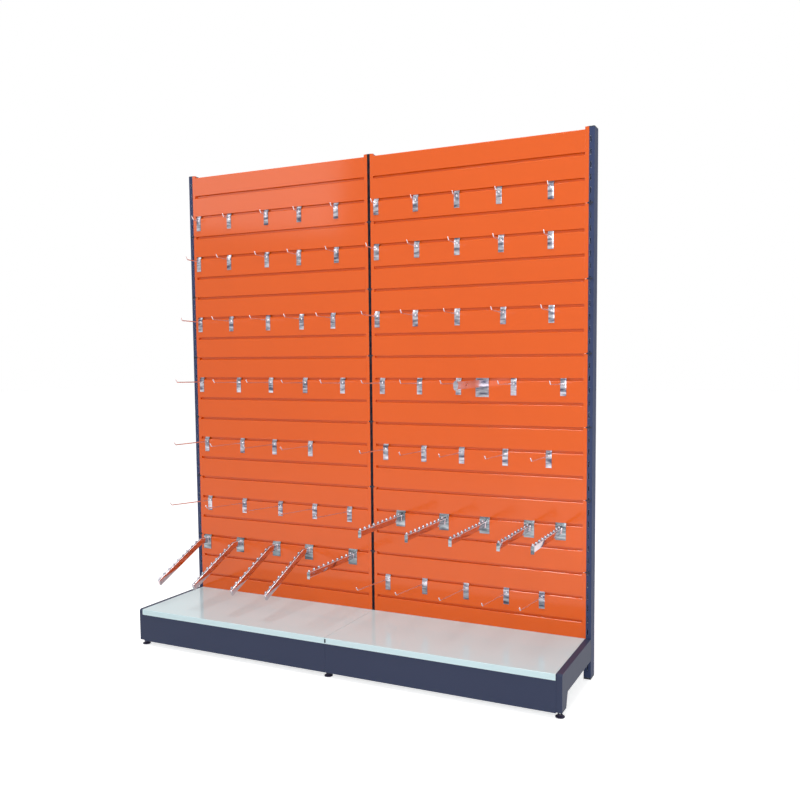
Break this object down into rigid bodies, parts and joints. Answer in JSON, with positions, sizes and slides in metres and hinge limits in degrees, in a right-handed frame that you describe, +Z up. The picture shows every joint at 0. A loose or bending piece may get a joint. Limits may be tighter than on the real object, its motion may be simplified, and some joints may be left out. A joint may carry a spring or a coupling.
{
  "type": "slat panel tool wall",
  "caption": "Slat-panel tool wall: orange folded panels on slotted dark blue uprights, with zinc hooks and ball arms above a grey base deck",
  "frame": {"origin": "on the floor, below the middle of the whole wall, hooks and base included", "axes": "+X to the right as someone facing the hooks sees it, +Y to the back through the panels, +Z up"},
  "size_m": [2.036, 0.504, 2.25],
  "materials": {
    "panel_orange": "glossy powder coat",
    "frame_blue": "satin powder coat",
    "deck_grey": "glossy powder coat",
    "hook_zinc": "bright zinc plate",
    "arm_zinc": "bright zinc plate",
    "stud_zinc": "zinc plate",
    "clip_steel": "satin powder coat",
    "cap_black": "moulded",
    "foot_black": "moulded"
  },
  "bodies": {
    "frame": {"left_upright": "frame_blue", "left_base_leg": "frame_blue", "centre_upright": "frame_blue", "centre_base_leg": "frame_blue", "right_upright": "frame_blue", "right_base_leg": "frame_blue", "upright_caps": "cap_black", "upright_plugs": "cap_black", "foot_nuts": "stud_zinc", "panel_clips": "clip_steel", "top_rails": "frame_blue", "bottom_rails": "frame_blue", "left_panel_1": "panel_orange", "left_panel_2": "panel_orange", "left_panel_3": "panel_orange", "left_panel_4": "panel_orange", "left_panel_5": "panel_orange", "left_panel_6": "panel_orange", "left_panel_7": "panel_orange", "right_panel_1": "panel_orange", "right_panel_2": "panel_orange", "right_panel_3": "panel_orange", "right_panel_4": "panel_orange", "right_panel_5": "panel_orange", "right_panel_6": "panel_orange", "right_panel_7": "panel_orange"},
    "left_hooks_50_row": {"left_hooks_50": "hook_zinc"},
    "left_hooks_100_row": {"left_hooks_100": "hook_zinc"},
    "left_hooks_150_row": {"left_hooks_150": "hook_zinc"},
    "left_hooks_200_row": {"left_hooks_200": "hook_zinc"},
    "left_hooks_250_row": {"left_hooks_250": "hook_zinc"},
    "left_hooks_300_row": {"left_hooks_300": "hook_zinc"},
    "right_hooks_50_row": {"right_hooks_50": "hook_zinc"},
    "right_hooks_100_row": {"right_hooks_100": "hook_zinc"},
    "right_hooks_150_row": {"right_hooks_150": "hook_zinc"},
    "right_hooks_200_row": {"right_hooks_200": "hook_zinc"},
    "right_hooks_250_row": {"right_hooks_250": "hook_zinc"},
    "right_hooks_300_row": {"right_hooks_300": "hook_zinc"},
    "left_ball_arm_1_body": {"left_ball_arm_1": "arm_zinc"},
    "left_ball_arm_2_body": {"left_ball_arm_2": "arm_zinc"},
    "left_ball_arm_3_body": {"left_ball_arm_3": "arm_zinc"},
    "left_ball_arm_4_body": {"left_ball_arm_4": "arm_zinc"},
    "left_ball_arm_5_body": {"left_ball_arm_5": "arm_zinc"},
    "right_ball_arm_1_body": {"right_ball_arm_1": "arm_zinc"},
    "right_ball_arm_2_body": {"right_ball_arm_2": "arm_zinc"},
    "right_ball_arm_3_body": {"right_ball_arm_3": "arm_zinc"},
    "right_ball_arm_4_body": {"right_ball_arm_4": "arm_zinc"},
    "right_ball_arm_5_body": {"right_ball_arm_5": "arm_zinc"},
    "right_bar_arm_body": {"right_bar_arm": "arm_zinc"},
    "left_deck_body": {"left_deck": "deck_grey"},
    "left_kick_body": {"left_kick_plate": "frame_blue"},
    "right_deck_body": {"right_deck": "deck_grey"},
    "right_kick_body": {"right_kick_plate": "frame_blue"},
    "left_pad_body": {"left_foot_pad": "foot_black"},
    "left_stud_body": {"left_foot_stud": "stud_zinc"},
    "centre_pad_body": {"centre_foot_pad": "foot_black"},
    "centre_stud_body": {"centre_foot_stud": "stud_zinc"},
    "right_pad_body": {"right_foot_pad": "foot_black"},
    "right_stud_body": {"right_foot_stud": "stud_zinc"}
  },
  "joints": [
    {"name": "left_hooks_50_slide", "type": "slide", "parent": "frame", "child": "left_hooks_50_row", "axis": [1, 0, 0], "range_m": [-0.00514, 0.13492]},
    {"name": "left_hooks_100_slide", "type": "slide", "parent": "frame", "child": "left_hooks_100_row", "axis": [1, 0, 0], "range_m": [-0.0005, 0.13492]},
    {"name": "left_hooks_150_slide", "type": "slide", "parent": "frame", "child": "left_hooks_150_row", "axis": [1, 0, 0], "range_m": [-0.0005, 0.15809]},
    {"name": "left_hooks_200_slide", "type": "slide", "parent": "frame", "child": "left_hooks_200_row", "axis": [1, 0, 0], "range_m": [-0.0005, 0.11174]},
    {"name": "left_hooks_250_slide", "type": "slide", "parent": "frame", "child": "left_hooks_250_row", "axis": [1, 0, 0], "range_m": [-0.02368, 0.29251]},
    {"name": "left_hooks_300_slide", "type": "slide", "parent": "frame", "child": "left_hooks_300_row", "axis": [1, 0, 0], "range_m": [-0.03294, 0.08393]},
    {"name": "right_hooks_50_slide", "type": "slide", "parent": "frame", "child": "right_hooks_50_row", "axis": [1, 0, 0], "range_m": [-0.0005, 0.12565]},
    {"name": "right_hooks_100_slide", "type": "slide", "parent": "frame", "child": "right_hooks_100_row", "axis": [1, 0, 0], "range_m": [-0.0005, 0.12565]},
    {"name": "right_hooks_150_slide", "type": "slide", "parent": "frame", "child": "right_hooks_150_row", "axis": [1, 0, 0], "range_m": [-0.0005, 0.12101]},
    {"name": "right_hooks_200_slide", "type": "slide", "parent": "frame", "child": "right_hooks_200_row", "axis": [1, 0, 0], "range_m": [-0.022, 0.04]},
    {"name": "right_hooks_250_slide", "type": "slide", "parent": "frame", "child": "right_hooks_250_row", "axis": [1, 0, 0], "range_m": [-0.03758, 0.13028]},
    {"name": "right_hooks_300_slide", "type": "slide", "parent": "frame", "child": "right_hooks_300_row", "axis": [1, 0, 0], "range_m": [-0.04221, 0.15809]},
    {"name": "left_ball_arm_1_slide", "type": "slide", "parent": "frame", "child": "left_ball_arm_1_body", "axis": [1, 0, 0], "range_m": [-0.0005, 0.06]},
    {"name": "left_ball_arm_2_slide", "type": "slide", "parent": "frame", "child": "left_ball_arm_2_body", "axis": [1, 0, 0], "range_m": [-0.06, 0.06]},
    {"name": "left_ball_arm_3_slide", "type": "slide", "parent": "frame", "child": "left_ball_arm_3_body", "axis": [1, 0, 0], "range_m": [-0.06, 0.06]},
    {"name": "left_ball_arm_4_slide", "type": "slide", "parent": "frame", "child": "left_ball_arm_4_body", "axis": [1, 0, 0], "range_m": [-0.06, 0.06]},
    {"name": "left_ball_arm_5_slide", "type": "slide", "parent": "frame", "child": "left_ball_arm_5_body", "axis": [1, 0, 0], "range_m": [-0.06, 0.0594]},
    {"name": "right_ball_arm_1_slide", "type": "slide", "parent": "frame", "child": "right_ball_arm_1_body", "axis": [1, 0, 0], "range_m": [-0.06, 0.06]},
    {"name": "right_ball_arm_2_slide", "type": "slide", "parent": "frame", "child": "right_ball_arm_2_body", "axis": [1, 0, 0], "range_m": [-0.06, 0.06]},
    {"name": "right_ball_arm_3_slide", "type": "slide", "parent": "frame", "child": "right_ball_arm_3_body", "axis": [1, 0, 0], "range_m": [-0.06, 0.06]},
    {"name": "right_ball_arm_4_slide", "type": "slide", "parent": "frame", "child": "right_ball_arm_4_body", "axis": [1, 0, 0], "range_m": [-0.06, 0.0445]},
    {"name": "right_ball_arm_5_slide", "type": "slide", "parent": "frame", "child": "right_ball_arm_5_body", "axis": [1, 0, 0], "range_m": [-0.0445, 0.06]},
    {"name": "right_bar_arm_slide", "type": "slide", "parent": "frame", "child": "right_bar_arm_body", "axis": [1, 0, 0], "range_m": [-0.025, 0.025]},
    {"name": "left_deck_lift", "type": "slide", "parent": "frame", "child": "left_deck_body", "axis": [0, 0, 1], "range_m": [0, 0.06]},
    {"name": "left_kick_pull", "type": "slide", "parent": "frame", "child": "left_kick_body", "axis": [0, -1, 0], "range_m": [0, 0.06]},
    {"name": "right_deck_lift", "type": "slide", "parent": "frame", "child": "right_deck_body", "axis": [0, 0, 1], "range_m": [0, 0.06]},
    {"name": "right_kick_pull", "type": "slide", "parent": "frame", "child": "right_kick_body", "axis": [0, -1, 0], "range_m": [0, 0.06]},
    {"name": "left_foot_height", "type": "slide", "parent": "frame", "child": "left_pad_body", "axis": [0, 0, 1], "range_m": [-0.015, 0.01]},
    {"name": "left_stud_turn", "type": "hinge", "parent": "left_pad_body", "child": "left_stud_body", "pos_m": [-1, -0.22, 0.03], "axis": [0, 0, 1], "range_deg": [-3600, 2400]},
    {"name": "centre_foot_height", "type": "slide", "parent": "frame", "child": "centre_pad_body", "axis": [0, 0, 1], "range_m": [-0.015, 0.01]},
    {"name": "centre_stud_turn", "type": "hinge", "parent": "centre_pad_body", "child": "centre_stud_body", "pos_m": [0, -0.22, 0.03], "axis": [0, 0, 1], "range_deg": [-3600, 2400]},
    {"name": "right_foot_height", "type": "slide", "parent": "frame", "child": "right_pad_body", "axis": [0, 0, 1], "range_m": [-0.015, 0.01]},
    {"name": "right_stud_turn", "type": "hinge", "parent": "right_pad_body", "child": "right_stud_body", "pos_m": [1, -0.22, 0.03], "axis": [0, 0, 1], "range_deg": [-3600, 2400]}
  ],
  "couplings": [
    {"joint": "left_stud_turn", "follows": "left_foot_height", "rad_per_m": 4188.8},
    {"joint": "centre_stud_turn", "follows": "centre_foot_height", "rad_per_m": 4188.8},
    {"joint": "right_stud_turn", "follows": "right_foot_height", "rad_per_m": 4188.8}
  ]
}
